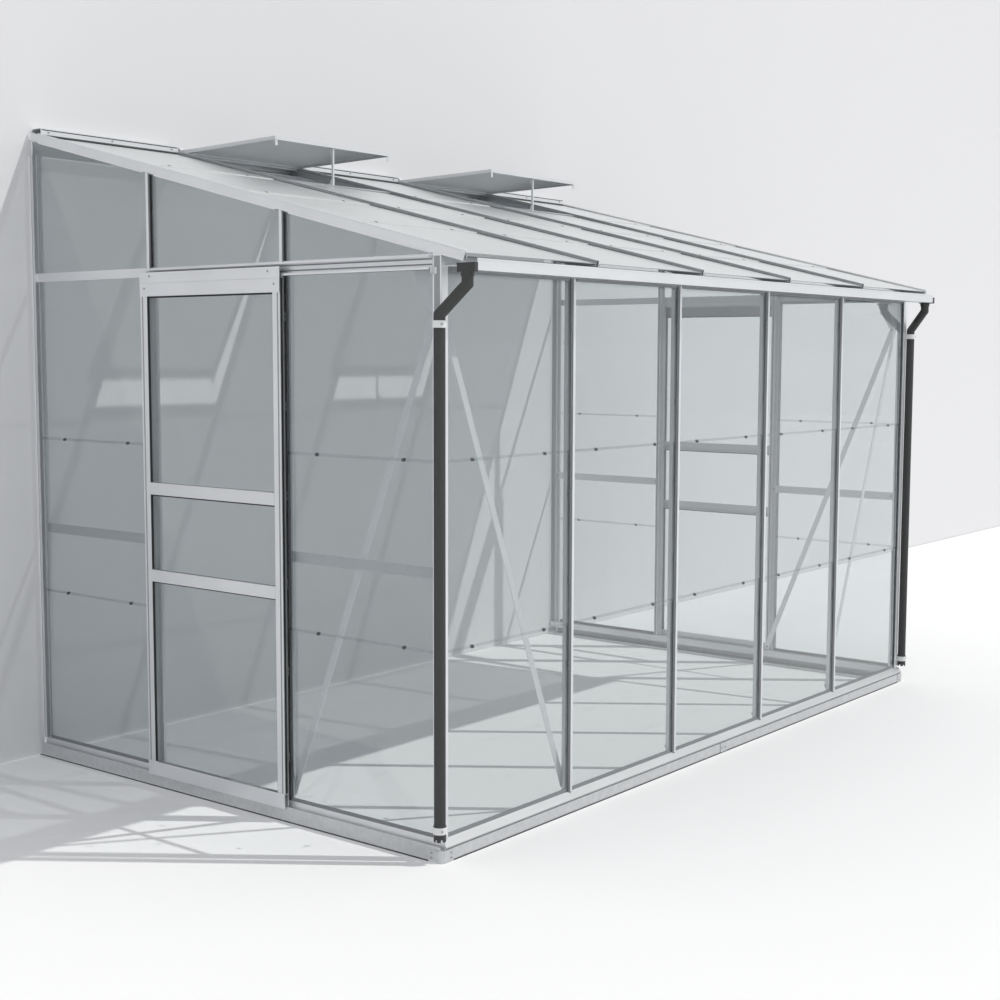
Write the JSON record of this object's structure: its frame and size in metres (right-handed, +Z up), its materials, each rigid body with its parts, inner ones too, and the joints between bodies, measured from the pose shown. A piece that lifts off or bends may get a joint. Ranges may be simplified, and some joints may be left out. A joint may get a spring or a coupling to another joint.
{
  "type": "lean-to greenhouse",
  "caption": "Glazed lean-to greenhouse that stands against a house wall, with a single-pitch roof, propped roof vents, a front gutter and a sliding door in each gable.",
  "frame": {"origin": "middle of the overall footprint, on the ground", "axes": "+X along the long front, +Y from the front to the house wall, +Z up"},
  "size_m": [3.8468, 2.416, 2.671],
  "materials": {
    "aluminium": "mill finish",
    "flat_aluminium": "mill finish flat",
    "glass": "clear float",
    "black_plastic": "satin",
    "grey_plastic": "satin",
    "nylon": "matte"
  },
  "bodies": {
    "frame": {"base_front": "aluminium", "base_sides": "aluminium", "base_cleats": "flat_aluminium", "front_sill": "aluminium", "side_sills": "aluminium", "corner_posts": "aluminium", "wall_posts": "aluminium", "front_bars": "aluminium", "gable_bars": "aluminium", "head_bars": "aluminium", "door_tracks": "aluminium", "gable_stiffeners": "aluminium", "braces": "flat_aluminium", "gussets": "flat_aluminium", "eave_beam": "aluminium", "gutter": "aluminium", "gutter_outlets": "black_plastic", "downpipes": "black_plastic", "pipe_clips": "grey_plastic", "ridge_plate": "aluminium", "ridge_covers": "aluminium", "vent_hinge_rails": "aluminium", "vent_sills": "aluminium", "verge_bars": "aluminium", "roof_bars": "aluminium", "vent_stiles": "aluminium", "vent_rails": "aluminium", "vent_glass": "glass", "vent_props": "flat_aluminium", "front_glass": "glass", "gable_glass": "glass", "roof_glass": "glass"},
    "left_door": {"left_door_stiles": "aluminium", "left_door_rails": "aluminium", "left_door_head": "aluminium", "left_door_glass": "glass", "left_door_rollers": "nylon"},
    "right_door": {"right_door_stiles": "aluminium", "right_door_rails": "aluminium", "right_door_head": "aluminium", "right_door_glass": "glass", "right_door_rollers": "nylon"}
  },
  "joints": [
    {"name": "left_door_slide", "type": "slide", "parent": "frame", "child": "left_door", "axis": [0, -1, 0], "range_m": [0, 0.7]},
    {"name": "right_door_slide", "type": "slide", "parent": "frame", "child": "right_door", "axis": [0, -1, 0], "range_m": [0, 0.7]}
  ]
}
